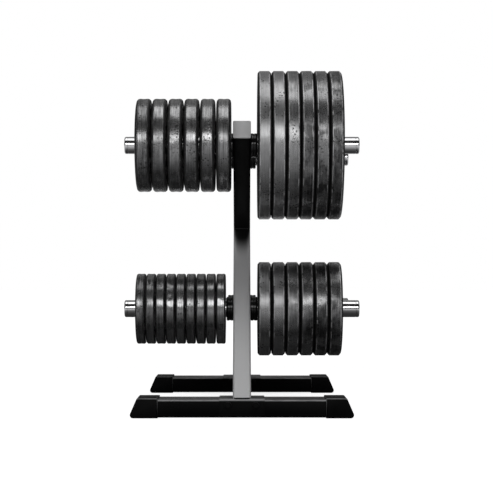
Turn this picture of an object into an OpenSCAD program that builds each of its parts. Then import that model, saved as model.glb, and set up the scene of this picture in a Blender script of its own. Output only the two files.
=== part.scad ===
// Weight-plate storage rack: an X-shaped frame on two feet, eight chrome
// sleeves and four stacks of iron plates. Millimetres, +Z up, origin on the
// floor in the middle of the rack. The loaded sleeves face -Y (the front).

/* [Frame] */
// Width of the frame tube, side to side
tube_w = 50; // [44:1:56]
// Depth of the frame tube, across its length
tube_d = 75; // [66:1:84]
// Wall of the frame and foot tubes
tube_wall = 3; // [2:0.5:5]
// Lean of the frame tubes from upright, in degrees
lean = 45; // [43:1:47]
// Height at which the frame tubes cross
cross_z = 532.5; // [520:0.5:545]
// Height of an arm's end above the crossing
arm_rise = 279; // [270:1:330]
// Thickness of the end cap on each upper arm
arm_cap_t = 4; // [3:0.5:8]

/* [Feet] */
// Length of the steel foot tube
foot_len = 566; // [540:1:600]
// Depth of the foot tube, front to back
foot_d = 120; // [110:1:130]
// Height of the top face of the foot tube
foot_top_z = 51; // [45:1:60]
// Gap under the foot tube, which the rubber covers lift off the floor
foot_gap = 2; // [1:0.5:4]
// Thickness of the rubber foot covers
cover_t = 4; // [3:0.5:6]
// Distance from the middle of a foot to the inner edge of its rubber covers
cover_in_x = 230.5; // [200:0.5:250]
// Distance from the middle of a foot to the bottom outer edge of its covers
cover_out_x = 311.5; // [306:0.5:340]
// Distance from the middle of a foot to the top outer edge of its covers
cover_top_x = 287.5; // [286:0.5:300]
// Width of the saddle that joins a leg to its foot
saddle_w = 125; // [110:1:160]
// Thickness of the saddle plate
saddle_t = 3; // [2:0.5:5]
// Distance of each foot bolt from the middle
bolt_x = 38; // [32:1:48]
// Height of the foot bolts
bolt_z = 36.5; // [25:0.5:38]

/* [Sleeves] */
// Height of the sleeves above and below the crossing
peg_rise = 238.3; // [230:0.1:250]
// Radius of the chrome sleeve
sleeve_r = 25; // [24:0.5:25]
// Distance from the middle of the rack to a sleeve's inner end
sleeve_in_x = 44.5; // [40:0.5:50]
// Distance from the middle of the rack to a sleeve's outer end
sleeve_out_x = 331.4; // [325:0.1:400]
// Thickness of the domed cap on each sleeve end
dome_t = 10.9; // [10:0.1:14]
// Radius of the solid shaft inside the sleeves
shaft_r = 15; // [12:0.5:18]
// Radius of the stop collars
collar_r = 35; // [30:0.5:40]

/* [Plates] */
// Radius of the plate bores
bore_r = 25.4; // [25.3:0.1:26]
// Diameter of the top left plates
top_left_dia = 272; // [240:1:300]
// Diameter of the top right plates
top_right_dia = 432; // [380:1:450]
// Diameter of the bottom left plates
bottom_left_dia = 205; // [180:1:240]
// Diameter of the bottom right plates
bottom_right_dia = 273; // [240:1:300]

/* [Hidden] */
$fn = 96;
EPS = 0.01;
black_paint = [0.07, 0.07, 0.08];
silver_paint = [0.60, 0.60, 0.61];
gloss_black = [0.04, 0.04, 0.05];
cap_grey = [0.62, 0.62, 0.63];
rubber_black = [0.09, 0.09, 0.09];
fastener_black = [0.12, 0.12, 0.13];
chrome_silver = [0.85, 0.86, 0.88];
steel_silver = [0.62, 0.63, 0.65];
iron_grey = [0.33, 0.33, 0.34];

// Frame
saddle_top_z = foot_top_z + saddle_t;
leg_y = (cross_z - saddle_top_z) * tan(lean);
leg_half_print = tube_d / 2 / cos(lean);
foot_y = leg_y + leg_half_print - foot_d / 2;
arm_len = arm_rise / cos(lean);
leg_len = (cross_z - foot_top_z) / cos(lean) + tube_d;
peg_y = peg_rise * tan(lean);
top_z = cross_z + peg_rise;
bottom_z = cross_z - peg_rise;
arm_cap_over = 1;
arm_plug_len = 22;

// Feet
saddle_skirt_z = 6;
seat_y = foot_d / 2 + saddle_t;
cover_round = 9;
bolt_r = 5;
bolt_hole_r = 5.5;
hex_r = 9.8;
head_t = 6.4;
nut_t = 8;
washer_r = 10;
washer_t = 2;
bolt_tail = 5;

// Sleeves
fit_gap = 0.1;
dome_plug_len = 6.4;
shaft_end_x = sleeve_out_x - dome_plug_len;
dome_round = 8.4;
collar_round = 3;
screw_r = 5;
screw_head_r = 8;
screw_head_t = 5;
screw_len = 32;
screw_seat_x = sleeve_out_x + dome_t - screw_head_t - 1;
socket_r = 4.6;
socket_floor = 1.5;
counterbore_r = screw_head_r + 0.5;

// Plates. Each shape is [edge rounding, rim thickness, rim width, hub radius,
// hub inner and outer face, web inner and outer face], faces measured from the
// inner face of the rim. Each stack is [distance of the first rim, pitch].
large_shape = [5.5, 38.8, 30, 52, 0.8, 38, 13, 25];
deep_shape = [11, 43, 24, 42, 14.5, 42, 17, 34];
medium_shape = [5.5, 38.8, 24, 42, 0.8, 38, 11, 28];
small_shape = [6, 27, 18, 38, 0.6, 26.4, 7, 20];
top_left_stack = [31, 46.4];
top_right_stack = [45.5, 40.6];
bottom_left_stack = [47, 29];
bottom_right_stack = [45.5, 40.6];
hang_gap = 0.05;
hang_drop = bore_r - sleeve_r - hang_gap;
bore_chamfer = 1;
wall_slope = 6;

// ---- Placing helpers ----

// Turns +Z to point along +X (side 1) or -X (side -1) from a point on a peg line
module on_peg(side, y, z) {
    translate([0, y, z]) rotate([0, side * 90, 0]) children();
}

// Frame tube axis through the crossing; facing 1 leans its top to the front
module along_tube(facing) {
    translate([0, 0, cross_z]) rotate([facing * lean, 0, 0]) children();
}

module all_pegs(y) {
    for (side = [-1, 1], z = [top_z, bottom_z]) on_peg(side, y, z) children();
}

// Places its children at a foot, with -Y pointing out of the rack
module at_foot(end) {
    if (end == "front") translate([0, -foot_y, 0]) children();
    else mirror([0, 1, 0]) translate([0, -foot_y, 0]) children();
}

// ---- Frame ----

module square_tube(from, to) {
    difference() {
        translate([-tube_w / 2, -tube_d / 2, from]) cube([tube_w, tube_d, to - from]);
        translate([-tube_w / 2 + tube_wall, -tube_d / 2 + tube_wall, from - 1])
            cube([tube_w - 2 * tube_wall, tube_d - 2 * tube_wall, to - from + 2]);
    }
}

module below_saddle() {
    translate([-tube_w, -2 * leg_y, saddle_top_z - 4 * tube_d])
        cube([2 * tube_w, 4 * leg_y, 4 * tube_d]);
}

// Cross hole for a shaft, at a distance above the crossing
module shaft_hole(rise, y) {
    translate([-tube_w, y, cross_z + rise]) rotate([0, 90, 0])
        cylinder(r = shaft_r + fit_gap, h = 2 * tube_w);
}

module long_diagonal_tube() {
    color(silver_paint) difference() {
        along_tube(-1) square_tube(-leg_len, arm_len);
        below_saddle();
        shaft_hole(peg_rise, peg_y);
        shaft_hole(-peg_rise, -peg_y);
    }
}

module upper_front_tube() {
    color(black_paint) difference() {
        along_tube(1) square_tube(tube_d / 2, arm_len);
        shaft_hole(peg_rise, -peg_y);
    }
}

module lower_back_tube() {
    color(black_paint) difference() {
        along_tube(1) square_tube(-leg_len, -tube_d / 2);
        below_saddle();
        shaft_hole(-peg_rise, peg_y);
    }
}

module arm_cap(facing) {
    plug_w = tube_w - 2 * tube_wall - 2 * fit_gap;
    plug_d = tube_d - 2 * tube_wall - 2 * fit_gap;
    cap_w = tube_w + 2 * arm_cap_over;
    cap_d = tube_d + 2 * arm_cap_over;
    color(cap_grey) along_tube(facing) union() {
        translate([-cap_w / 2, -cap_d / 2, arm_len]) cube([cap_w, cap_d, arm_cap_t]);
        translate([-plug_w / 2, -plug_d / 2, arm_len - arm_plug_len])
            cube([plug_w, plug_d, arm_plug_len + EPS]);
    }
}

// ---- Feet ----

module bolt_holes() {
    for (x = [-bolt_x, bolt_x])
        translate([x, -foot_d, bolt_z]) rotate([-90, 0, 0]) cylinder(r = bolt_hole_r, h = 2 * foot_d);
}

module foot_tube(end) {
    inner_h = foot_top_z - foot_gap - 2 * tube_wall;
    color(black_paint) at_foot(end) difference() {
        translate([-foot_len / 2, -foot_d / 2, foot_gap])
            cube([foot_len, foot_d, foot_top_z - foot_gap]);
        translate([-foot_len / 2 - 1, -foot_d / 2 + tube_wall, foot_gap + tube_wall])
            cube([foot_len + 2, foot_d - 2 * tube_wall, inner_h]);
        bolt_holes();
    }
}

module saddle(end) {
    depth = foot_d + 2 * saddle_t;
    color(black_paint) at_foot(end) difference() {
        translate([-saddle_w / 2, -depth / 2, saddle_skirt_z])
            cube([saddle_w, depth, saddle_top_z - saddle_skirt_z]);
        translate([-saddle_w, -foot_d / 2, 0]) cube([2 * saddle_w, foot_d, foot_top_z]);
        bolt_holes();
    }
}

// Side outline of a foot cover, with a rounded bottom corner and a sloped end
module cover_outline() {
    top = foot_top_z + cover_t;
    polygon([
        [cover_in_x, 0],
        for (a = [-90:15:0]) [
            cover_out_x - cover_round * (1 - cos(a)),
            cover_round * (1 + sin(a))
        ],
        [cover_top_x, top],
        [cover_in_x, top]
    ]);
}

module foot_cover(end, side) {
    depth = foot_d + 2 * cover_t;
    color(rubber_black) at_foot(end) scale([side, 1, 1]) difference() {
        translate([0, depth / 2, 0]) rotate([90, 0, 0]) linear_extrude(depth) cover_outline();
        translate([0, -foot_d / 2, foot_gap]) cube([foot_len / 2, foot_d, foot_top_z - foot_gap]);
    }
}

// Turns +Z to point into the foot from its outer side, at each bolt
module at_bolts(y) {
    for (end = ["front", "back"], x = [-bolt_x, bolt_x])
        at_foot(end) translate([x, y, bolt_z]) rotate([-90, 0, 0]) children();
}

module foot_bolts() {
    shank = 2 * (seat_y + washer_t) + nut_t + bolt_tail;
    color(fastener_black) at_bolts(-seat_y - washer_t) union() {
        translate([0, 0, -head_t]) cylinder(r = hex_r, h = head_t, $fn = 6);
        translate([0, 0, -EPS]) cylinder(r = bolt_r, h = shank);
    }
}

module foot_nuts() {
    color(fastener_black) at_bolts(seat_y + washer_t) difference() {
        cylinder(r = hex_r, h = nut_t, $fn = 6);
        translate([0, 0, -1]) cylinder(r = bolt_r + EPS, h = nut_t + 2);
    }
}

module washer() {
    difference() {
        cylinder(r = washer_r, h = washer_t);
        translate([0, 0, -1]) cylinder(r = bolt_r + fit_gap, h = washer_t + 2);
    }
}

module foot_washers() {
    color(fastener_black) {
        at_bolts(-seat_y - washer_t) washer();
        at_bolts(seat_y) washer();
    }
}

// ---- Sleeves ----

module shaft(y, z) {
    color(steel_silver) translate([-shaft_end_x, y, z]) rotate([0, 90, 0]) difference() {
        cylinder(r = shaft_r, h = 2 * shaft_end_x);
        for (from = [-1, 2 * shaft_end_x - screw_len])
            translate([0, 0, from]) cylinder(r = screw_r + EPS, h = screw_len + 1);
    }
}

module sleeve(side, y, z) {
    color(chrome_silver) on_peg(side, y, z) difference() {
        translate([0, 0, sleeve_in_x]) cylinder(r = sleeve_r, h = sleeve_out_x - sleeve_in_x);
        translate([0, 0, sleeve_in_x - 1])
            cylinder(r = shaft_r + fit_gap, h = sleeve_out_x - sleeve_in_x + 2);
    }
}

// Points of a quarter round from angle a0 to a1 about a centre
function arc(centre, r, a0, a1, steps = 6) =
    [for (i = [0:steps]) let (a = a0 + (a1 - a0) * i / steps) centre + r * [cos(a), sin(a)]];

module stop_collars(y) {
    from = tube_w / 2;
    to = sleeve_in_x;
    q = collar_round;
    color(gloss_black) all_pegs(y) rotate_extrude() polygon(concat(
        [[shaft_r + fit_gap, from]],
        arc([collar_r - q, from + q], q, -90, 0),
        arc([collar_r - q, to - q], q, 0, 90),
        [[shaft_r + fit_gap, to]]
    ));
}

module sleeve_domes(y) {
    q = dome_round;
    color(chrome_silver) all_pegs(y) rotate_extrude() polygon(concat(
        [
            [screw_r + fit_gap, shaft_end_x],
            [shaft_r, shaft_end_x],
            [shaft_r, sleeve_out_x],
            [sleeve_r, sleeve_out_x]
        ],
        arc([sleeve_r - q, sleeve_out_x + dome_t - q], q, 0, 90),
        [
            [counterbore_r, sleeve_out_x + dome_t],
            [counterbore_r, screw_seat_x],
            [screw_r + fit_gap, screw_seat_x]
        ]
    ));
}

// Button screws with a hexagon socket, one in each sleeve end
module sleeve_end_screws() {
    color(steel_silver) for (y = [-peg_y, peg_y]) all_pegs(y) difference() {
        union() {
            translate([0, 0, screw_seat_x]) cylinder(r = screw_head_r, h = screw_head_t);
            translate([0, 0, screw_seat_x - screw_len]) cylinder(r = screw_r, h = screw_len + EPS);
        }
        translate([0, 0, screw_seat_x + socket_floor])
            cylinder(r = socket_r, h = screw_head_t, $fn = 6);
    }
}

// ---- Plates ----

module plate(radius, shape) {
    round = shape[0];
    rim_t = shape[1];
    rim_r = radius - shape[2];
    hub_r = shape[3];
    hub = [shape[4], shape[5]];
    web = [shape[6], shape[7]];
    rotate_extrude() polygon(concat(
        [
            [bore_r, hub[0] + bore_chamfer],
            [bore_r + bore_chamfer, hub[0]],
            [hub_r, hub[0]],
            [hub_r + wall_slope, web[0]],
            [rim_r - wall_slope, web[0]],
            [rim_r, 0]
        ],
        arc([radius - round, round], round, -90, 0),
        arc([radius - round, rim_t - round], round, 0, 90),
        [
            [rim_r, rim_t],
            [rim_r - wall_slope, web[1]],
            [hub_r + wall_slope, web[1]],
            [hub_r, hub[1]],
            [bore_r + bore_chamfer, hub[1]],
            [bore_r, hub[1] - bore_chamfer]
        ]
    ));
}

// Plate number i of a stack, counted outwards from the frame
module stacked_plate(side, z, diameter, shape, stack, i) {
    color(iron_grey) on_peg(side, -peg_y, z - hang_drop)
        translate([0, 0, stack[0] + (i - 1) * stack[1]]) plate(diameter / 2, shape);
}

module top_left_plate(i) {
    stacked_plate(-1, top_z, top_left_dia, deep_shape, top_left_stack, i);
}

module top_right_plate(i) {
    stacked_plate(1, top_z, top_right_dia, large_shape, top_right_stack, i);
}

module bottom_left_plate(i) {
    stacked_plate(-1, bottom_z, bottom_left_dia, small_shape, bottom_left_stack, i);
}

module bottom_right_plate(i) {
    stacked_plate(1, bottom_z, bottom_right_dia, medium_shape, bottom_right_stack, i);
}

// ---- Nodes ----

long_diagonal_tube();
upper_front_tube();
lower_back_tube();
arm_cap(1);  // front_arm_cap
arm_cap(-1);  // back_arm_cap
for (end = ["front", "back"]) {
    saddle(end);
    foot_tube(end);
    foot_cover(end, -1);
    foot_cover(end, 1);
}
foot_bolts();
foot_nuts();
foot_washers();
for (row = [["front", -peg_y], ["back", peg_y]]) {
    for (level = [["top", top_z], ["bottom", bottom_z]]) {
        place = str(row[0], "_", level[0]);
        shaft(row[1], level[1]);
        sleeve(-1, row[1], level[1]);
        sleeve(1, row[1], level[1]);
    }
    stop_collars(row[1]);
    sleeve_domes(row[1]);
}
sleeve_end_screws();
for (i = [1:6]) {
    top_left_plate(i);
    top_right_plate(i);
    bottom_right_plate(i);
}
for (i = [1:9]) {
    bottom_left_plate(i);
}
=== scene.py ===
"""Looks of the weight plate rack: every visible piece, its materials, the floor, lights and camera.

Lengths are in metres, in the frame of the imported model: +Z up, the loaded sleeves towards -Y.
"""

import math
import random

import bmesh
import bpy
from mathutils import Matrix, Vector, noise


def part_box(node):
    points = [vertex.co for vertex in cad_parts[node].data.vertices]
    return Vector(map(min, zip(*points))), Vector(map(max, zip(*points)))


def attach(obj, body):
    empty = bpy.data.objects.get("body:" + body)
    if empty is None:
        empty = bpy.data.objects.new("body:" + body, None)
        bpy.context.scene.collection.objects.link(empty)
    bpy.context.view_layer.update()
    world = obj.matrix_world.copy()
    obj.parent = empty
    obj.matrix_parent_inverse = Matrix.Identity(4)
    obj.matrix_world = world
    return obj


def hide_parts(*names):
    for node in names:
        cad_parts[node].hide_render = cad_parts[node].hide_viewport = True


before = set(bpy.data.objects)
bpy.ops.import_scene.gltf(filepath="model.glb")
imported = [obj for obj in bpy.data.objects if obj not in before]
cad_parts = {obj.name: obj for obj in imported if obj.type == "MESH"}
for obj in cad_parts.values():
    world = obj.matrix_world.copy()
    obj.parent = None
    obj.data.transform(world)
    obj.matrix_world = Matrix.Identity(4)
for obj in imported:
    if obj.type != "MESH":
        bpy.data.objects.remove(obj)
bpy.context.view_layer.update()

MM = 0.001
RACK = "rack"
SIDES = {"left": -1, "right": 1}
ENDS = {"front": -1, "back": 1}

# ---- Camera ----

CAMERA_DISTANCE = 4.80
CAMERA_HEIGHT = 0.3856
CAMERA_LENS = 114.06
CAMERA_SHIFT = (0.0093, 0.0625)


def make_camera():
    data = bpy.data.cameras.new("camera")
    data.lens = CAMERA_LENS
    data.sensor_width = 36
    data.shift_x, data.shift_y = CAMERA_SHIFT
    data.clip_end = 100
    camera = bpy.data.objects.new("camera", data)
    camera.location = (0, -CAMERA_DISTANCE, CAMERA_HEIGHT)
    camera.rotation_euler = (math.radians(90), 0, 0)
    bpy.context.scene.collection.objects.link(camera)
    bpy.context.scene.camera = camera


make_camera()

# ---- Frame facts ----

LEAN = math.radians(45)
saddle_low, saddle_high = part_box("front_saddle")
leg_low, leg_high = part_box("long_diagonal_tube")
SADDLE_TOP = saddle_high.z
TUBE_W = leg_high.x - leg_low.x
TUBE_D = 75 * MM
TUBE_RADIUS = 6 * MM
# The welds at the crossing are ground flush with the tubes' sides
WELD_INSET = 2.1 * MM
# The long tube's top corner is half a tube depth past its end, along both Y and Z
ARM_END = leg_high.y - TUBE_D / 2 * math.sin(LEAN)
CROSS_Z = leg_high.z - TUBE_D / 2 * math.sin(LEAN) - ARM_END
ARM_LENGTH = ARM_END / math.sin(LEAN)
CROSS = Vector((0, 0, CROSS_Z))
# How far from the crossing the painted shade under the arm reaches: solid up to the first, gone by the
# second
CROSSING_SHADE = (0.026, 0.09)
# How much further the unshaded silver paint comes up along the tube's edges, which gives the painted
# shade its U
CROSSING_SHADE_CURVE = 0.05
# The ragged edge of the painted shade, and its near-black grey
CROSSING_SHADE_SPECKLE = 0.01
CROSSING_SHADE_TONE = 0.006


# ---- Materials ----


class Material:
    """A node material with a Principled shader, built by adding nodes in order."""

    def __init__(self, name, **constants):
        self.data = bpy.data.materials.new(name)
        self.data.use_nodes = True
        self.tree = self.data.node_tree
        self.tree.nodes.clear()
        output = self.tree.nodes.new("ShaderNodeOutputMaterial")
        self.shader = self.tree.nodes.new("ShaderNodeBsdfPrincipled")
        self.tree.links.new(self.shader.outputs["BSDF"], output.inputs["Surface"])
        self.set(self.shader, constants)

    def set(self, node, values):
        for key, value in values.items():
            socket = node.inputs[key]
            if isinstance(value, bpy.types.NodeSocket):
                self.tree.links.new(value, socket)
            else:
                socket.default_value = value

    def link(self, **values):
        """Feeds the shader's sockets: color, metallic, roughness or normal."""
        names = {"color": "Base Color"}
        self.set(self.shader, {names.get(key, key.title()): value for key, value in values.items()})

    def place(self, scale=(1, 1, 1)):
        """Object coordinates, stretched along each axis by scale."""
        source = self.tree.nodes.new("ShaderNodeTexCoord").outputs["Object"]
        mapping = self.tree.nodes.new("ShaderNodeMapping")
        self.set(mapping, {"Vector": source, "Scale": scale})
        return mapping.outputs["Vector"]

    def position(self):
        """The object coordinates, as outputs named X, Y and Z."""
        split = self.tree.nodes.new("ShaderNodeSeparateXYZ")
        self.set(split, {0: self.place()})
        return split.outputs

    def noise(self, scale, detail=3.0, rough=0.55, stretch=(1, 1, 1), distortion=0.0):
        node = self.tree.nodes.new("ShaderNodeTexNoise")
        self.set(node, {"Vector": self.place(stretch), "Scale": scale, "Detail": detail})
        self.set(node, {"Roughness": rough, "Distortion": distortion})
        return node.outputs["Fac"]

    def cells(self, scale):
        node = self.tree.nodes.new("ShaderNodeTexVoronoi")
        self.set(node, {"Vector": self.place(), "Scale": scale})
        return node.outputs["Distance"]

    def attribute(self, name):
        node = self.tree.nodes.new("ShaderNodeAttribute")
        node.attribute_name = name
        return node.outputs["Fac"]

    def spread(self, value, low, high, to_low=0.0, to_high=1.0):
        """Maps low..high smoothly to to_low..to_high."""
        node = self.tree.nodes.new("ShaderNodeMapRange")
        node.interpolation_type = "SMOOTHSTEP"
        self.set(node, {"Value": value, "From Min": low, "From Max": high})
        self.set(node, {"To Min": to_low, "To Max": to_high})
        return node.outputs["Result"]

    def math(self, operation, a, b=0.0):
        node = self.tree.nodes.new("ShaderNodeMath")
        node.operation = operation
        self.set(node, {0: a, 1: b})
        return node.outputs["Value"]

    def add(self, a, b):
        return self.math("ADD", a, b)

    def subtract(self, a, b):
        return self.math("SUBTRACT", a, b)

    def multiply(self, a, b):
        return self.math("MULTIPLY", a, b)

    def grey_ramp(self, value, stops):
        node = self.tree.nodes.new("ShaderNodeValToRGB")
        ramp = node.color_ramp
        while len(ramp.elements) < len(stops):
            ramp.elements.new(0.5)
        for element, (position, tone) in zip(ramp.elements, stops):
            element.position = position
            element.color = grey(tone)
        self.set(node, {"Fac": value})
        return node.outputs["Color"]

    def mix(self, factor, a, b):
        node = self.tree.nodes.new("ShaderNodeMix")
        node.data_type = "RGBA"
        sockets = [s for s in node.inputs if s.type == "RGBA"]
        self.set(node, {0: factor})
        for socket, value in zip(sockets, (a, b)):
            if isinstance(value, bpy.types.NodeSocket):
                self.tree.links.new(value, socket)
            else:
                socket.default_value = value
        return node.outputs[2]

    def bump(self, height, distance, strength):
        node = self.tree.nodes.new("ShaderNodeBump")
        self.set(node, {"Height": height, "Distance": distance, "Strength": strength})
        return node.outputs["Normal"]


def grey(value):
    """A grey with a trace of blue, as a color."""
    return (value, value, value * 1.01, 1)


def iron(name, tones, blotch, streak, gloss, dark_x):
    """Worn iron where the mesh's wear_and_painted_light attribute is high, chipped black enamel
    elsewhere; where it is highest a light grey is a painted highlight on bright worn corners, and below
    zero the enamel goes near black as painted shade.

    tones are the darkest and brightest bare-metal greys, blotch and streak are how strongly the
    patches and the lathe lines show, gloss is the lowest roughness of the metal, and the plates
    get darker and blotchier from one distance along the sleeve to the other in dark_x.
    """
    m = Material(name, **{"Specular IOR Level": 0.3})
    patches = m.noise(9, 6, 0.62, distortion=0.5)
    spots = m.noise(34, 4, 0.6)
    lines = m.noise(1, 4, 0.7, stretch=(520, 9, 9))
    scratches = m.spread(m.noise(1, 2, 0.5, stretch=(1500, 22, 22)), 0.58, 0.68)
    grain = m.noise(650, 3, 0.6)
    pits = m.spread(m.cells(125), 0.42, 0.16)
    pit_areas = m.spread(m.noise(15, 4, 0.6), 0.5, 0.6)
    outward = m.spread(m.math("ABSOLUTE", m.position()["X"]), *dark_x)
    dark = m.spread(m.add(patches, m.multiply(spots, 0.35)), 0.56, 0.78)
    dark = m.multiply(dark, m.add(blotch * 0.35, m.multiply(outward, blotch)))
    tone = m.add(m.multiply(m.spread(lines, 0.25, 0.75), streak), 0.62 - streak / 2)
    tone = m.add(tone, m.multiply(m.subtract(grain, 0.5), 0.35))
    tone = m.subtract(tone, m.multiply(outward, 0.22))
    tone = m.subtract(tone, m.multiply(dark, 0.6))
    middle = tones[0] * 0.45 + tones[1] * 0.55
    bare = m.grey_ramp(tone, [(0.0, tones[0]), (0.55, middle), (1.0, tones[1])])
    bare = m.mix(m.multiply(scratches, 0.35), bare, grey(min(0.8, tones[1] * 1.6)))
    pitted = m.multiply(pits, pit_areas)
    bare = m.mix(m.multiply(pitted, 0.85), bare, grey(0.012))
    wear_and_painted_light = m.attribute("wear_and_painted_light")
    ragged = m.add(wear_and_painted_light, m.multiply(m.subtract(spots, 0.5), 0.55))
    ragged = m.add(ragged, m.multiply(m.subtract(grain, 0.5), 0.4))
    casting = m.noise(150, 4, 0.65)
    scuffs = m.spread(m.noise(22, 6, 0.75, distortion=1.2), 0.6, 0.64, 0.0, 0.65)
    scuffs = m.multiply(scuffs, m.spread(wear_and_painted_light, -0.1, 0.0))
    worn = m.math("MAXIMUM", m.spread(ragged, 0.42, 0.56), scuffs)
    # Painted highlight: the rims' corner lines turn light grey, partly bright worn metal
    polish_and_highlight = m.multiply(m.spread(wear_and_painted_light, 1.15, 1.5), m.spread(spots, 0.42, 0.56, 0.0, 0.7))
    # Painted shade: the black enamel in the rim corners between plates darkens to near black
    enamel_and_shade = m.spread(wear_and_painted_light, 0.0, -0.25)
    dust = m.add(m.multiply(casting, 0.5), m.multiply(spots, 0.5))
    enamel = m.grey_ramp(dust, [(0.36, 0.011), (0.5, 0.026), (0.66, 0.06)])
    enamel = m.mix(enamel_and_shade, enamel, grey(0.003))
    color = m.mix(polish_and_highlight, m.mix(worn, enamel, bare), grey(0.7))
    rough = m.add(gloss, m.multiply(m.spread(patches, 0.35, 0.7), 0.14))
    rough = m.add(rough, m.multiply(m.subtract(grain, 0.5), 0.12))
    rough = m.add(rough, m.multiply(m.subtract(1.0, worn), 0.12))
    rough = m.add(rough, m.multiply(polish_and_highlight, 0.2))
    rough = m.add(rough, m.multiply(enamel_and_shade, 0.3))
    metallic = m.multiply(worn, m.subtract(0.9, m.multiply(polish_and_highlight, 0.4)))
    height = m.add(m.multiply(grain, 0.25), m.multiply(lines, streak * 1.2))
    height = m.add(height, m.multiply(spots, 0.5))
    cast_skin = m.multiply(m.subtract(1.0, worn), casting)
    height = m.add(height, m.multiply(cast_skin, 3.2))
    height = m.subtract(height, pitted)
    height = m.subtract(height, m.multiply(worn, 0.2))
    m.link(color=color, metallic=metallic, roughness=rough, normal=m.bump(height, 0.4 * MM, 0.6))
    return m.data


FINE_PEEL = 0.06 * MM


def rubbed_edges(m, color, tone):
    """Paints a highlight: lightens a finish along the edges that the mesh's wear_and_painted_light
    attribute marks.
    """
    ragged = m.spread(m.noise(45, 4, 0.6, stretch=(0.3, 1, 1)), 0.35, 0.55, 0.6, 1.0)
    return m.mix(m.multiply(m.attribute("wear_and_painted_light"), ragged), color, grey(tone))


def sprayed(m, tones, rough):
    """The colour, roughness and flake of a sprayed coat, with faint tone changes in it."""
    flake = m.noise(2600, 1, 0.5)
    cloud = m.noise(5, 3, 0.5)
    tone = m.add(m.multiply(flake, 0.5), m.multiply(cloud, 0.5))
    color = m.grey_ramp(tone, [(0.35, tones[0]), (0.65, tones[1])])
    roughness = m.spread(cloud, 0.3, 0.7, rough - 0.03, rough + 0.05)
    return color, roughness, flake


def orange_peel(m, depth):
    return m.bump(m.noise(420, 2, 0.4), depth, 0.6)


def paint(name, tones, rough, specular, peel=FINE_PEEL, highlight_tone=None):
    """Sprayed paint with a fine orange peel, and a painted highlight along its marked edges if wanted.
    """
    m = Material(name, **{"Specular IOR Level": specular})
    color, roughness, flake = sprayed(m, tones, rough)
    if highlight_tone:
        color = rubbed_edges(m, color, highlight_tone)
    m.link(color=color, roughness=roughness, normal=orange_peel(m, peel))
    return m.data


def leg_paint(name, tones, rough):
    """Silver-grey paint, with painted shade that fades out from the welded crossing in a U, as if the
    arm shaded the tube.
    """
    m = Material(name, **{"Specular IOR Level": 0.4, "Metallic": 0.3})
    silver, roughness, flake = sprayed(m, tones, rough)
    place = m.position()
    rise = m.subtract(place["Z"], CROSS_Z)
    depth = m.multiply(m.subtract(rise, place["Y"]), math.cos(LEAN))
    on_face = m.spread(m.math("ABSOLUTE", depth), TUBE_D / 2 - TUBE_RADIUS, TUBE_D / 2 - 1 * MM)
    across = m.math("POWER", m.math("ABSOLUTE", m.math("DIVIDE", place["X"], TUBE_W / 2)), 4)
    away = m.add(m.math("ABSOLUTE", rise), m.multiply(across, CROSSING_SHADE_CURVE))
    away = m.add(away, m.multiply(m.subtract(flake, 0.5), CROSSING_SHADE_SPECKLE))
    # Painted shade: the long tube's faces go near black close to the crossing, as if shaded by the arm
    clear = m.subtract(1.0, m.multiply(on_face, m.spread(away, *CROSSING_SHADE, 1, 0)))
    color = m.mix(clear, grey(CROSSING_SHADE_TONE), silver)
    m.link(color=color, roughness=roughness, normal=orange_peel(m, FINE_PEEL))
    return m.data


def chrome(name):
    """Polished plating with fine scuffs run along the sleeve by the plates."""
    m = Material(name, **{"Metallic": 1.0})
    scuffs = m.spread(m.noise(1, 4, 0.6, stretch=(25, 900, 900)), 0.52, 0.62)
    smear = m.noise(30, 4, 0.6)
    color = m.grey_ramp(smear, [(0.3, 0.78), (0.7, 0.86)])
    roughness = m.add(0.05, m.multiply(scuffs, 0.1))
    roughness = m.add(roughness, m.multiply(smear, 0.05))
    m.link(color=color, roughness=roughness, normal=m.bump(scuffs, 0.03 * MM, 0.4))
    return m.data


def moulded(name, tones, rough, specular, grain_scale, depth, highlight_tone=None):
    """Moulded plastic or rubber with a fine grain, and a painted highlight along its marked edges if
    wanted.
    """
    m = Material(name, **{"Specular IOR Level": specular})
    grain = m.noise(grain_scale, 4, 0.6)
    cloud = m.noise(18, 3, 0.5)
    color = m.grey_ramp(cloud, [(0.3, tones[0]), (0.7, tones[1])])
    if highlight_tone:
        color = rubbed_edges(m, color, highlight_tone)
    roughness = m.spread(grain, 0.3, 0.7, rough - 0.06, rough + 0.08)
    m.link(color=color, roughness=roughness, normal=m.bump(grain, depth, 0.5))
    return m.data


def zinc(name):
    """Zinc plating with its mottled crystals and brushed threads."""
    m = Material(name, **{"Metallic": 1.0})
    mottle = m.cells(260)
    brushed = m.noise(900, 3, 0.6)
    color = m.grey_ramp(m.multiply(mottle, 1.2), [(0.1, 0.3), (0.8, 0.5)])
    roughness = m.spread(brushed, 0.3, 0.7, 0.28, 0.5)
    m.link(color=color, roughness=roughness, normal=m.bump(brushed, 0.08 * MM, 0.4))
    return m.data


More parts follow.
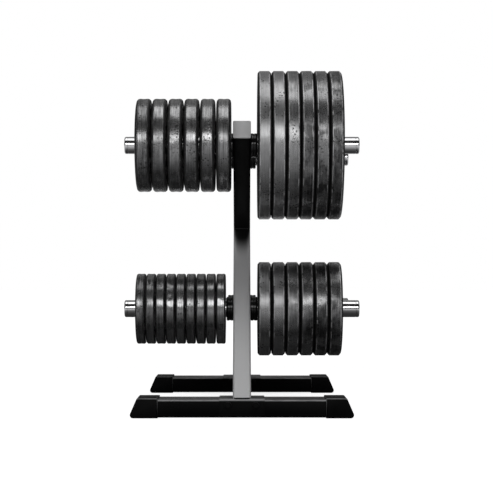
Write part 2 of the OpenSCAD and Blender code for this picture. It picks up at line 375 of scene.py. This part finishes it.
LEFT_IRON = (iron, (0.05, 0.56), 0.75, 0.6, 0.19, (-0.4, 1.3))
RIGHT_IRON = (iron, (0.06, 0.56), 0.6, 0.28, 0.25, (0.1, 0.2))
RECIPES = {
    "leg_paint_grey": (leg_paint, (0.52, 0.6), 0.42),
    "arm_paint_black": (paint, (0.004, 0.007), 0.3, 0.25),
    # The last number of foot_paint_black and foot_rubber is the grey of the painted highlight along
    # their top edges
    "foot_paint_black": (paint, (0.002, 0.004), 0.3, 0.12, 0.08 * MM, 0.34),
    "arm_cap_plastic": (moulded, (0.50, 0.56), 0.5, 0.4, 1400, 0.08 * MM),
    "foot_rubber": (moulded, (0.003, 0.006), 0.5, 0.08, 1100, 0.15 * MM, 0.24),
    "black_fasteners": (moulded, (0.002, 0.005), 0.45, 0.12, 900, 0.06 * MM),
    "zinc_fasteners": (zinc,),
    "shaft_steel": (zinc,),
    "chrome": (chrome,),
    "gloss_black": (paint, (0.006, 0.009), 0.12, 0.5),
    "cast_iron_top_left": LEFT_IRON,
    "cast_iron_top_right": RIGHT_IRON,
    "cast_iron_bottom_left": LEFT_IRON,
    "cast_iron_bottom_right": RIGHT_IRON,
}
MATERIALS = {name: make(name, *values) for name, (make, *values) in RECIPES.items()}

# ---- Mesh helpers ----


def finish_piece(bm, name, body, slot, nodes, sharp=38):
    """Turns a bmesh into a shown piece that rides on a body and stands for CAD nodes."""
    bmesh.ops.remove_doubles(bm, verts=bm.verts, dist=1e-7)
    bmesh.ops.recalc_face_normals(bm, faces=bm.faces)
    mesh = bpy.data.meshes.new(name)
    bm.to_mesh(mesh)
    bm.free()
    for polygon in mesh.polygons:
        polygon.use_smooth = True
    mesh.set_sharp_from_angle(angle=math.radians(sharp))
    mesh.materials.append(MATERIALS[slot])
    piece = bpy.data.objects.new(name, mesh)
    bpy.context.scene.collection.objects.link(piece)
    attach(piece, body)
    if nodes:
        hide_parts(*nodes)
    return piece


def loft(bm, rings, closed=False, caps=True):
    """Skins rings of points, each with the same number of points, and caps both ends."""
    loops = [[bm.verts.new(p) for p in ring] for ring in rings]
    pairs = list(zip(loops, loops[1:]))
    if closed:
        pairs.append((loops[-1], loops[0]))
    for a, b in pairs:
        for i in range(len(a)):
            j = (i + 1) % len(a)
            bm.faces.new((a[i], a[j], b[j], b[i]))
    if caps and not closed:
        bm.faces.new(list(reversed(loops[0])))
        bm.faces.new(loops[-1])
    return loops


def filleted(corners, steps=4):
    """Rounds the corners of a closed outline. Each corner is (x, y, radius, *extras)."""
    points = []
    count = len(corners)
    for i, corner in enumerate(corners):
        here = Vector(corner[:2])
        before = Vector(corners[i - 1][:2]) - here
        after = Vector(corners[(i + 1) % count][:2]) - here
        extras = tuple(corner[3:])
        half = before.angle(after) / 2
        radius = corner[2]
        if radius <= 0 or half > math.radians(89.5):
            points.append((here.x, here.y) + extras)
            continue
        reach = min(radius / math.tan(half), before.length * 0.49, after.length * 0.49)
        radius = reach * math.tan(half)
        bisector = (before.normalized() + after.normalized()).normalized()
        centre = here + bisector * (radius / math.sin(half))
        start = here + before.normalized() * reach - centre
        end = here + after.normalized() * reach - centre
        turn = start.angle_signed(end)
        for k in range(steps + 1):
            spoke = start.copy()
            spoke.rotate(Matrix.Rotation(-turn * k / steps, 2))
            points.append((centre.x + spoke.x, centre.y + spoke.y) + extras)
    return points


def rectangle(width, height, radius, steps=4):
    """A rounded rectangle about the origin."""
    w, h = width / 2, height / 2
    return filleted([(w, h, radius), (-w, h, radius), (-w, -h, radius), (w, -h, radius)], steps)


def inset(points, distance):
    """Moves the edges of a convex outline inwards."""
    count = len(points)
    middle = sum((Vector(p[:2]) for p in points), Vector((0, 0))) / count
    moved = []
    for i in range(count):
        here = Vector(points[i][:2])
        edge_in = (here - Vector(points[i - 1][:2])).normalized()
        edge_out = (Vector(points[(i + 1) % count][:2]) - here).normalized()
        normals = [Vector((-e.y, e.x)) for e in (edge_in, edge_out)]
        normals = [n if n.dot(middle - here) > 0 else -n for n in normals]
        bisector = (normals[0] + normals[1]).normalized()
        scale = distance / max(bisector.dot(normals[0]), 0.2)
        moved.append(tuple(here + bisector * scale))
    return moved


def rounded_slab(bm, outline, low, high, edge, place, steps=3):
    """Extrudes a convex outline from low to high with rounded end edges.

    place maps (x, y, distance along the extrusion) to a point.
    """
    turns = [math.pi / 2 * k / steps for k in range(steps + 1)]
    levels = [(a, low + edge * (1 - math.cos(a))) for a in turns]
    levels += [(a, high - edge * (1 - math.cos(a))) for a in reversed(turns)]
    rings = []
    for a, level in levels:
        shape = inset(outline, edge * (1 - math.sin(a))) if edge else outline
        rings.append([place(x, y, level) for x, y in (p[:2] for p in shape)])
    loft(bm, rings)


def lathe(bm, profile, axis, side, segments, shape=None):
    """Turns a closed profile of (radius, distance along the axis, wear and painted light) about a line
    along X.

    axis is (y, z) of the line, and shape may change a point's radius by its angle and place.
    """
    wear_and_painted_light = bm.verts.layers.float.get("wear_and_painted_light") or bm.verts.layers.float.new("wear_and_painted_light")
    rings = []
    for k in range(segments):
        angle = 2 * math.pi * k / segments
        ring = []
        for radius, along, *extra in profile:
            r = radius if shape is None else shape(radius, along, angle)
            y, z = axis[0] + r * math.cos(angle), axis[1] + r * math.sin(angle)
            vert = bm.verts.new((side * along, y, z))
            vert[wear_and_painted_light] = extra[0] if extra else 0.0
            ring.append(vert)
        rings.append(ring)
    for k in range(segments):
        a, b = rings[k], rings[(k + 1) % segments]
        for i in range(len(a)):
            j = (i + 1) % len(a)
            bm.faces.new((a[i], a[j], b[j], b[i]))


def weld_bead(bm, path, radius, seed):
    """A rippled bead along a closed path of points."""
    rng = random.Random(seed)
    fine = []
    for a, b in zip(path, path[1:] + path[:1]):
        steps = max(1, round((b - a).length / (1.6 * MM)))
        fine += [a.lerp(b, i / steps) for i in range(steps)]
    count = len(fine)
    middle = sum(fine, Vector()) / count
    rings = []
    for i, point in enumerate(fine):
        along = (fine[(i + 1) % count] - fine[i - 1]).normalized()
        out = (point - middle).normalized()
        across = along.cross(out).normalized()
        out = across.cross(along)
        swell = 1 + 0.13 * math.sin(i * 2.1) + rng.uniform(-0.08, 0.08)
        ring = []
        for k in range(8):
            angle = 2 * math.pi * k / 8
            ring.append(point + (out * math.cos(angle) + across * math.sin(angle)) * radius * swell)
        rings.append(ring)
    loft(bm, rings, closed=True)


# ---- Frame ----


def tube_axes(facing):
    """Along and across directions of a frame tube; facing 1 leans its top to the front."""
    along = Vector((0, -facing * math.sin(LEAN), math.cos(LEAN)))
    across = Vector((0, math.cos(LEAN), facing * math.sin(LEAN)))
    return along, across


def tube_between(name, facing, low, high, slot, nodes):
    """A rounded tube; low and high are distances along it, and low None cuts it level at the saddle."""
    along, across = tube_axes(facing)
    outline = rectangle(TUBE_W, TUBE_D, TUBE_RADIUS, 5)
    bm = bmesh.new()

    def at(x, y, distance):
        return CROSS + Vector((x, 0, 0)) + across * y + along * distance

    def level(x, y):
        base = at(x, y, 0)
        return base + along * ((SADDLE_TOP - base.z) / along.z)

    ends = []
    for limit in (low, high):
        ends.append([level(x, y) if limit is None else at(x, y, limit) for x, y in outline])
    steps = 6
    rings = [[a.lerp(b, k / steps) for a, b in zip(*ends)] for k in range(steps + 1)]
    loft(bm, rings)
    return finish_piece(bm, name, RACK, slot, nodes)


def make_tubes():
    tube_between("long_tube", -1, None, ARM_LENGTH, "leg_paint_grey", ["long_diagonal_tube"])
    tube_between("front_arm", 1, TUBE_D / 2, ARM_LENGTH, "arm_paint_black", ["upper_front_tube"])
    tube_between("back_leg", 1, None, -TUBE_D / 2, "arm_paint_black", ["lower_back_tube"])


def make_welds():
    """Beads where the half tubes meet the long tube, and where both legs meet their saddles."""
    bm = bmesh.new()
    along, across = tube_axes(1)
    outline = rectangle(TUBE_W - 2 * WELD_INSET, TUBE_D, TUBE_RADIUS, 3)
    for seed, distance in enumerate((TUBE_D / 2 + 1 * MM, -TUBE_D / 2 - 1 * MM)):
        path = [CROSS + Vector((x, 0, 0)) + across * y + along * distance for x, y in outline]
        weld_bead(bm, path, 2.2 * MM, seed)
    finish_piece(bm, "cross_welds", RACK, "arm_paint_black", [], 60)
    bm = bmesh.new()
    for facing, name in ((-1, "front"), (1, "back")):
        along, across = tube_axes(facing)
        path = []
        for x, y in outline:
            base = CROSS + Vector((x, 0, 0)) + across * y
            path.append(base + along * ((SADDLE_TOP + 0.8 * MM - base.z) / along.z))
        weld_bead(bm, path, 2.0 * MM, 7 + facing)
    finish_piece(bm, "foot_welds", RACK, "foot_paint_black", [], 60)


# The caps stand out past the tubes by the lip, and their plugs clear the tubes' outsides by the gap
CAP_T, CAP_LIP = 4 * MM, 1 * MM
PLUG_GAP, PLUG_LENGTH = 3.2 * MM, 21 * MM


def make_arm_caps():
    for end, facing in (("front", 1), ("back", -1)):
        along, across = tube_axes(facing)
        bm = bmesh.new()

        def place(x, y, z):
            return CROSS + Vector((x, 0, 0)) + across * y + along * z

        outline = rectangle(TUBE_W + 2 * CAP_LIP, TUBE_D + 2 * CAP_LIP, 4.5 * MM, 4)
        rounded_slab(bm, outline, ARM_LENGTH, ARM_LENGTH + CAP_T, 1.3 * MM, place)
        plug = rectangle(TUBE_W - 2 * PLUG_GAP, TUBE_D - 2 * PLUG_GAP, 3 * MM, 3)
        rounded_slab(bm, plug, ARM_LENGTH - PLUG_LENGTH, ARM_LENGTH + 1 * MM, 0.5 * MM, place)
        finish_piece(bm, end + "_cap", RACK, "arm_cap_plastic", [end + "_arm_cap"])


# ---- Feet ----

foot_low, foot_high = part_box("front_foot_tube")
cover_low, cover_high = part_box("front_right_foot_cover")
FOOT_Y = abs(foot_low.y + foot_high.y) / 2
FOOT_RADIUS = 5 * MM
FOLD_RADIUS = 7 * MM
COVER_RADIUS = 3 * MM
COVER_SLOPE = 24 * MM


def rub_edges(bm, y, half, top, radius):
    """Marks the rounded upper edges of a foot part about y for a painted highlight."""
    wear_and_painted_light = bm.verts.layers.float.new("wear_and_painted_light")
    for vert in bm.verts:
        drop, reach = top - vert.co.z, half - abs(vert.co.y - y)
        if max(drop, reach) < radius * 0.9:
            vert[wear_and_painted_light] = 1.0


def make_feet():
    for end, sign in ENDS.items():
        y = FOOT_Y * sign
        bm = bmesh.new()
        middle_z = (foot_low.z + foot_high.z) / 2
        outline = rectangle(foot_high.y - foot_low.y, foot_high.z - foot_low.z, FOOT_RADIUS, 4)

        def place(a, b, along):
            return Vector((along, y + a, middle_z + b))

        rounded_slab(bm, outline, foot_low.x, foot_high.x, 0, place, 1)
        rub_edges(bm, y, (foot_high.y - foot_low.y) / 2, foot_high.z, FOOT_RADIUS)
        finish_piece(bm, end + "_foot", RACK, "foot_paint_black", [end + "_foot_tube"])
        make_saddle(end, y)
        for side, way in SIDES.items():
            make_foot_cover(end, side, y, way)


def make_saddle(end, y):
    """A plate folded over the foot tube, with rounded folds and softened ends."""
    half = (saddle_high.y - saddle_low.y) / 2
    plate = saddle_high.z - foot_high.z
    low = saddle_low.z
    bm = bmesh.new()
    outer = folded(half, low, SADDLE_TOP, FOLD_RADIUS)
    inner = folded(half - plate, low, SADDLE_TOP - plate, 4 * MM)
    edge = 0.8 * MM
    rings = []
    for x, shrink in (
        (saddle_low.x, edge), (saddle_low.x + edge, 0), (saddle_high.x - edge, 0), (saddle_high.x, edge),
    ):
        ring = []
        for (oy, oz), (iy, iz) in zip(outer, inner):
            t = shrink / plate
            ring.append(Vector((x, y + oy + (iy - oy) * t, oz + (iz - oz) * t)))
        for oy, oz in reversed(inner):
            ring.append(Vector((x, y + oy, oz)))
        rings.append(ring)
    loops = loft(bm, rings, caps=False)
    count = len(outer)
    for loop in (loops[0], loops[-1]):
        for i in range(count - 1):
            j = 2 * count - 1 - i
            bm.faces.new((loop[i], loop[i + 1], loop[j - 1], loop[j]))
    rub_edges(bm, y, half, SADDLE_TOP, FOLD_RADIUS)
    finish_piece(bm, end + "_saddle_plate", RACK, "foot_paint_black", [end + "_saddle"])


def folded(half, low, top, radius, steps=5):
    """An outline folded down over both sides of a foot, from one lower edge to the other."""
    arc = []
    for k in range(steps + 1):
        turn = math.pi / 2 * k / steps
        arc.append((radius - half - radius * math.cos(turn), top - radius + radius * math.sin(turn)))
    mirrored = [(-y, z) for y, z in reversed(arc)]
    return [(-half, low), *arc, *mirrored, (half, low)]


def make_foot_cover(end, side, y, way):
    """A moulded rubber cover over the end of a foot, with a sloped end and soft edges."""
    inner_x, outer_x = cover_low.x, cover_high.x
    top = cover_high.z
    slope_x = outer_x - COVER_SLOPE
    depth = cover_high.y - cover_low.y
    outline = filleted([
        (inner_x, 0, 0.8 * MM), (outer_x, 0, 9 * MM), (slope_x, top, 5 * MM), (inner_x, top, 1.5 * MM),
    ], 5)
    bm = bmesh.new()

    def place(a, b, along):
        return Vector((way * a, y + along, b))

    rounded_slab(bm, outline, -depth / 2, depth / 2, COVER_RADIUS, place, 4)
    rub_edges(bm, y, depth / 2, top, COVER_RADIUS)
    name = end + "_" + side
    finish_piece(bm, name + "_cover", RACK, "foot_rubber", [name + "_foot_cover"])


# ---- Foot fasteners ----

bolt_low, bolt_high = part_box("foot_bolts")
washer_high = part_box("foot_washers")[1]
WASHER_RADIUS = 10 * MM
BOLT_X = washer_high.x - WASHER_RADIUS
BOLT_Z = (bolt_low.z + bolt_high.z) / 2
SEAT = (saddle_high.y - saddle_low.y) / 2
HEAD_T, NUT_T, WASHER_T = 6.4 * MM, 8 * MM, 2 * MM
HEX_RADIUS = 9.8 * MM
THREAD_PITCH = 1.5 * MM


def circle(radius, count=32):
    turns = [2 * math.pi * k / count for k in range(count)]
    return [(radius * math.cos(turn), radius * math.sin(turn)) for turn in turns]


def at_bolt(x, y, sign):
    """Maps local (a, b, outward) at a foot bolt's seat to the rack; outward runs away from the foot."""
    def place(a, b, outward):
        return Vector((x + a, y + sign * outward, BOLT_Z + b))
    return place


def hex_piece(bm, place, low, high):
    """A hexagon with the turned chamfer of a bolt head on its outer face."""
    rings = [
        [place(*p, low) for p in circle(HEX_RADIUS, 6)],
        [place(*p, high - 1.2 * MM) for p in circle(HEX_RADIUS, 6)],
        [place(*p, high) for p in circle(HEX_RADIUS * 0.86, 6)],
    ]
    loft(bm, rings)


def threaded(bm, place, low, high):
    """The end of a bolt: rings of a fine thread and a chamfered tip."""
    rings = []
    z = low
    while z < high - 1.5 * MM:
        rings.append([place(*p, z) for p in circle(5 * MM, 20)])
        rings.append([place(*p, z + THREAD_PITCH / 2) for p in circle(4.4 * MM, 20)])
        z += THREAD_PITCH
    rings.append([place(*p, high - 1 * MM) for p in circle(4.9 * MM, 20)])
    rings.append([place(*p, high) for p in circle(3.9 * MM, 20)])
    loft(bm, rings)


def make_foot_fasteners():
    heads, nuts, washers = bmesh.new(), bmesh.new(), bmesh.new()
    for sign in ENDS.values():
        foot_y = FOOT_Y * sign
        for x in (-BOLT_X, BOLT_X):
            outer = at_bolt(x, foot_y + sign * SEAT, sign)
            inner = at_bolt(x, foot_y - sign * SEAT, -sign)
            for place in (outer, inner):
                rounded_slab(washers, circle(WASHER_RADIUS), 0, WASHER_T, 0.4 * MM, place, 2)
            hex_piece(heads, outer, WASHER_T, WASHER_T + HEAD_T)
            hex_piece(nuts, inner, WASHER_T, WASHER_T + NUT_T)
            threaded(heads, inner, WASHER_T + NUT_T - 1 * MM, WASHER_T + NUT_T + 5 * MM)
    finish_piece(heads, "hex_bolts", RACK, "black_fasteners", ["foot_bolts"], 25)
    finish_piece(nuts, "hex_nuts", RACK, "black_fasteners", ["foot_nuts"], 25)
    finish_piece(washers, "washers", RACK, "black_fasteners", ["foot_washers"], 30)


# ---- Sleeves ----

SLEEVE_BORE = 15.1 * MM
COLLAR_RADIUS = 35 * MM
# A round for every sleeve, collar and cap
SLEEVE_SEGMENTS = 128


def peg_axis(end, level):
    low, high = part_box(end + "_" + level + "_right_sleeve")
    return (low.y + high.y) / 2, (low.z + high.z) / 2


def sleeve_span():
    low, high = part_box("front_top_right_sleeve")
    return low.x, high.x, (high.z - low.z) / 2


def make_sleeves():
    start, stop, radius = sleeve_span()
    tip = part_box("front_sleeve_domes")[1].x
    for end in ENDS:
        collars, domes = bmesh.new(), bmesh.new()
        for level in ("top", "bottom"):
            axis = peg_axis(end, level)
            for side, way in SIDES.items():
                bm = bmesh.new()
                tube = filleted([
                    (SLEEVE_BORE, start, 0.2 * MM, 0), (radius, start, 0.6 * MM, 0),
                    (radius, stop, 0.8 * MM, 0), (SLEEVE_BORE, stop, 0.2 * MM, 0),
                ], 3)
                lathe(bm, tube, axis, way, SLEEVE_SEGMENTS)
                name = end + "_" + level + "_" + side
                finish_piece(bm, name + "_chrome", RACK, "chrome", [name + "_sleeve"])
                lathe(collars, collar_profile(start), axis, way, SLEEVE_SEGMENTS)
                lathe(domes, dome_profile(radius, stop, tip), axis, way, SLEEVE_SEGMENTS)
        finish_piece(collars, end + "_collars", RACK, "gloss_black", [end + "_stop_collars"])
        finish_piece(domes, end + "_domes", RACK, "chrome", [end + "_sleeve_domes"])


def collar_profile(stop):
    """A stop collar with a shallow groove round it and soft corners."""
    start = TUBE_W / 2
    middle = (start + stop) / 2
    floor = COLLAR_RADIUS - 1.0 * MM
    return filleted([
        (SLEEVE_BORE, start, 0.2 * MM), (COLLAR_RADIUS, start, 3 * MM),
        (COLLAR_RADIUS, middle - 2.4 * MM, 0.6 * MM), (floor, middle - 1.4 * MM, 0.6 * MM),
        (floor, middle + 1.4 * MM, 0.6 * MM), (COLLAR_RADIUS, middle + 2.4 * MM, 0.6 * MM),
        (COLLAR_RADIUS, stop, 3 * MM), (SLEEVE_BORE, stop, 0.2 * MM),
    ], 4)


def dome_profile(radius, start, tip):
    """A sleeve's end cap: a thin seam at the sleeve, a large round and a pocket for its screw."""
    hole, pocket, seam = 6 * MM, 8.5 * MM, radius - 0.6 * MM
    seat = tip - 5.9 * MM
    return filleted([
        (hole, start, 0), (seam, start, 0.2 * MM), (seam, start + 0.8 * MM, 0.2 * MM),
        (radius, start + 1.0 * MM, 0.3 * MM), (radius, tip, 8 * MM), (pocket, tip, 0.8 * MM),
        (pocket, seat, 0.3 * MM), (hole, seat, 0),
    ], 7)


# ---- Plates ----

# In millimetres. Edge is the rounding of the rim's corners, bevel a flat cut across them, rim the
# rim's height, hub_r the hub's radius, and groove the depth of the shallow channel round the rim.
# Hub and web give their two faces' distances from the rim's inner face.
LARGE = dict(edge=2.2, bevel=4.2, rim=30, hub_r=52, hub=(0.8, 38), web=(13, 25), groove=0.0)
MEDIUM = dict(edge=2.2, bevel=4.2, rim=24, hub_r=42, hub=(0.8, 38), web=(11, 28), groove=0.0)
DEEP = dict(edge=11, bevel=0, rim=24, hub_r=42, hub=(14.5, 42), web=(17, 34), groove=0.8)
SMALL = dict(edge=6, bevel=0, rim=18, hub_r=38, hub=(0.6, 26.4), web=(7, 20), groove=0.5)
STACKS = {
    "top_left": (-1, DEEP), "top_right": (1, LARGE),
    "bottom_left": (-1, SMALL), "bottom_right": (1, MEDIUM),
}
BORE_R = 25.4 * MM


def rim_corners(radius, thick, shape):
    """The rim's outer corners, from its inner face to its outer one."""
    edge, bevel, groove = shape["edge"] * MM, shape["bevel"] * MM, shape["groove"] * MM
    # Wear levels: polish_and_highlight is a worn corner line painted light as a highlight, worn is bare
    # metal, and enamel_and_shade is black enamel painted darker as shade between the plates
    polish_and_highlight, worn, enamel_and_shade = 1.6, 1.0, -0.3
    if bevel:
        half = [
            (radius - bevel * 1.5, 0, edge, enamel_and_shade),
            (radius - bevel * 0.35, bevel * 1.0, 0.8 * MM, 0.1),
            (radius - 0.3 * MM, bevel * 1.25, 0.5 * MM, polish_and_highlight),
            (radius, bevel * 1.62, 0.4 * MM, polish_and_highlight),
            (radius, bevel * 1.75, 0.2 * MM, worn),
        ]
    else:
        half = [
            (radius - edge - 1.2 * MM, 0, 0.5 * MM, polish_and_highlight),
            (radius - edge + 0.6 * MM, 0.3 * MM, 0.5 * MM, polish_and_highlight),
            (radius - edge * 0.45, edge * 0.14, edge * 0.3, enamel_and_shade),
            (radius - edge * 0.08, edge * 0.55, edge * 0.25, 0.3), (radius, edge * 1.0, 0.6 * MM, worn),
        ]
    if groove:
        half.append((radius - groove, thick * 0.46, 3 * MM, worn))
    middle = [(radius, thick / 2, 1 * MM, worn)] if not groove else []
    mirrored = [(r, thick - s, fillet, w) for r, s, fillet, w in reversed(half)]
    return half + middle + mirrored


def plate_profile(radius, thick, shape):
    """The plate's closed section as (radius, distance from the rim's inner face, wear and painted
    light).
    """
    rim_r = radius - shape["rim"] * MM
    hub_r = shape["hub_r"] * MM
    slope = 6 * MM
    ring_r = (hub_r + rim_r) / 2
    near = [
        (BORE_R, shape["hub"][0] * MM, 1 * MM, 0.6), (hub_r, shape["hub"][0] * MM, 2 * MM, 0.35),
        (hub_r + slope, shape["web"][0] * MM, 4 * MM, 0.0),
        *raised_ring(ring_r, shape["web"][0] * MM, -1),
        (rim_r - slope, shape["web"][0] * MM, 5 * MM, 0.0), (rim_r, 0, 2.5 * MM, 0.2),
    ]
    far = [
        (rim_r, thick, 2.5 * MM, 0.2), (rim_r - slope, shape["web"][1] * MM, 5 * MM, 0.0),
        *reversed(raised_ring(ring_r, shape["web"][1] * MM, 1)),
        (hub_r + slope, shape["web"][1] * MM, 4 * MM, 0.0),
        (hub_r, shape["hub"][1] * MM, 2 * MM, 0.35), (BORE_R, shape["hub"][1] * MM, 1 * MM, 0.6),
    ]
    return filleted(near + rim_corners(radius, thick, shape) + far, 4)


def raised_ring(radius, face, way):
    """A low bead cast round the web, standing out of the face."""
    rise = face + way * 1.8 * MM
    return [
        (radius - 5 * MM, face, 2 * MM, 0.0), (radius - 2.5 * MM, rise, 1.5 * MM, 0.25),
        (radius + 2.5 * MM, rise, 1.5 * MM, 0.25), (radius + 5 * MM, face, 2 * MM, 0.0),
    ]


def make_plate(stack, number):
    """One plate, with the unevenness of a casting and small dents round its rim."""
    way, shape = STACKS[stack]
    node = stack + "_plate_" + str(number)
    low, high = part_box(node)
    thick = high.x - low.x
    radius = (high.y - low.y) / 2
    start = low.x if way > 0 else -high.x
    axis = ((low.y + high.y) / 2, (low.z + high.z) / 2)
    rng = random.Random(node)
    offset = Vector((rng.uniform(-50, 50), rng.uniform(-50, 50), rng.uniform(-50, 50)))
    dents = [(rng.uniform(0, 2 * math.pi), rng.uniform(0, 1), rng.uniform(0.6, 1.6)) for _ in range(7)]

    def uneven(r, along, angle):
        if r < radius * 0.9:
            return r
        spot = Vector((math.cos(angle) * 2.2, math.sin(angle) * 2.2, (along - start) * 20)) + offset
        drop = 0.35 * (0.5 + 0.5 * noise.noise(spot))
        for where, edge, depth in dents:
            turn = (angle - where + math.pi) % (2 * math.pi) - math.pi
            reach = turn * radius / (5 * MM)
            across = (along - start - edge * thick) / (5 * MM)
            drop += depth * math.exp(-(reach * reach + across * across))
        return r - drop * MM

    profile = [(r, start + s, wear_and_painted_light) for r, s, wear_and_painted_light in plate_profile(radius, thick, shape)]
    bm = bmesh.new()
    lathe(bm, profile, axis, way, 160 if radius > 0.15 else 120, uneven)
    finish_piece(bm, stack + "_iron_" + str(number), node, "cast_iron_" + stack, [node], 50)


def make_plates():
    for stack in STACKS:
        number = 1
        while stack + "_plate_" + str(number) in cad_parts:
            make_plate(stack, number)
            number += 1


# ---- Carried-over CAD nodes ----


def dress(node, slot):
    """Gives a CAD node that stays on show its finished material."""
    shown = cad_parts[node]
    if not shown.material_slots:
        shown.data.materials.append(MATERIALS[slot])
    for material_slot in shown.material_slots:
        material_slot.material = MATERIALS[slot]


def dress_cad_nodes():
    dress("sleeve_end_screws", "zinc_fasteners")
    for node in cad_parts:
        if node.endswith("_shaft"):
            dress(node, "shaft_steel")


make_tubes()
make_welds()
make_arm_caps()
make_feet()
make_foot_fasteners()
make_sleeves()
make_plates()
dress_cad_nodes()

# ---- Floor and light ----


WHITE = 1.0
FLOOR_GLOW = 0.78
# Where the floor starts to fade to the backdrop's white, and where it has
FLOOR_FADE = (1.4, 3.4)
# The distance at which the ramp of painted thrown-back light and painted shadow ends
FLOOR_REACH = 5.0
# The floor's glow for reflected rays by distance: painted shadow near the rack, painted bounce light
# further out
FLOOR_BOUNCE_AND_SHADOW = [(0.1, 0.03), (0.18, 0.12), (0.26, 0.3), (0.4, 0.42), (1.0, 0.6)]


def make_floor():
    """A pale floor that fades to the backdrop's white with distance.

    The camera sees it near white. Every other ray meets a glow in place of a lit floor, as painted
    bounce light that is darker, and darkest close by as a painted shadow under the rack.
    """
    bm = bmesh.new()
    bmesh.ops.create_grid(bm, x_segments=1, y_segments=1, size=40)
    mesh = bpy.data.meshes.new("floor")
    bm.to_mesh(mesh)
    bm.free()
    m = Material("floor", **{"Specular IOR Level": 0.0, "Roughness": 0.8})
    distance = m.tree.nodes.new("ShaderNodeVectorMath")
    distance.operation = "LENGTH"
    m.set(distance, {0: m.place()})
    far = m.spread(distance.outputs["Value"], *FLOOR_FADE)
    base = m.grey_ramp(far, [(0.0, 0.86), (1.0, 0.5)])
    m.set(m.shader, {"Base Color": base, "Emission Color": (1, 1, 1, 1)})
    m.set(m.shader, {"Emission Strength": m.spread(far, 0, 1, FLOOR_GLOW, WHITE)})
    # Painted light: for reflections the floor glows, with a painted shadow near the rack
    bounce = m.tree.nodes.new("ShaderNodeEmission")
    reach = m.math("DIVIDE", distance.outputs["Value"], FLOOR_REACH)
    m.set(bounce, {"Color": m.grey_ramp(reach, FLOOR_BOUNCE_AND_SHADOW)})
    seen = m.tree.nodes.new("ShaderNodeLightPath").outputs["Is Camera Ray"]
    mix = m.tree.nodes.new("ShaderNodeMixShader")
    m.set(mix, {0: seen, 1: bounce.outputs["Emission"], 2: m.shader.outputs["BSDF"]})
    output = next(n for n in m.tree.nodes if n.type == "OUTPUT_MATERIAL")
    m.set(output, {"Surface": mix.outputs["Shader"]})
    mesh.materials.append(m.data)
    floor = bpy.data.objects.new("floor", mesh)
    bpy.context.scene.collection.objects.link(floor)


# What the rack is lit by and mirrors: a dim room towards the camera and a lighter backdrop behind,
# blended by how far a ray heads towards +Y
BACKDROP_BLEND = {"From Min": -0.2, "From Max": 0.6, "To Min": 0.03, "To Max": 0.22}


def area_light(name, place, target, size, radiance):
    """A rectangular softbox of a given brightness, which the floor's white is measured against."""
    data = bpy.data.lights.new(name, "AREA")
    data.shape = "RECTANGLE"
    data.size, data.size_y = size
    data.energy = radiance * math.pi * size[0] * size[1]
    light = bpy.data.objects.new(name, data)
    light.location = place
    light.rotation_euler = (Vector(target) - Vector(place)).to_track_quat("-Z", "Y").to_euler()
    bpy.context.scene.collection.objects.link(light)
    return light


def make_lights():
    area_light("top_softbox", (0, -0.45, 3.1), (0, -0.45, 0), (3.2, 1.5), 1.5)
    area_light("front_strip", (0, -5.3, 2.2), (0, 0, 0.6), (5.0, 1.6), 2.9)
    fill = area_light("front_fill", (0, -2.6, 3.4), (0, 0, 0.4), (3.0, 2.0), 1.2)
    fill.visible_glossy = False


def make_world():
    """White behind the rack for the camera, and the dimmer room for every other ray."""
    world = bpy.data.worlds.new("world")
    world.use_nodes = True
    tree = world.node_tree
    coordinates = tree.nodes.new("ShaderNodeTexCoord")
    split = tree.nodes.new("ShaderNodeSeparateXYZ")
    tree.links.new(coordinates.outputs["Generated"], split.inputs[0])
    blend = tree.nodes.new("ShaderNodeMapRange")
    blend.interpolation_type = "SMOOTHSTEP"
    tree.links.new(split.outputs["Y"], blend.inputs["Value"])
    for socket, value in BACKDROP_BLEND.items():
        blend.inputs[socket].default_value = value
    seen = tree.nodes.new("ShaderNodeLightPath").outputs["Is Camera Ray"]
    choose = tree.nodes.new("ShaderNodeMapRange")
    tree.links.new(seen, choose.inputs["Value"])
    tree.links.new(blend.outputs["Result"], choose.inputs["To Min"])
    choose.inputs["To Max"].default_value = WHITE
    tree.links.new(choose.outputs["Result"], tree.nodes["Background"].inputs["Color"])
    bpy.context.scene.world = world
    bpy.context.scene.view_settings.view_transform = "Standard"


make_floor()
make_lights()
make_world()
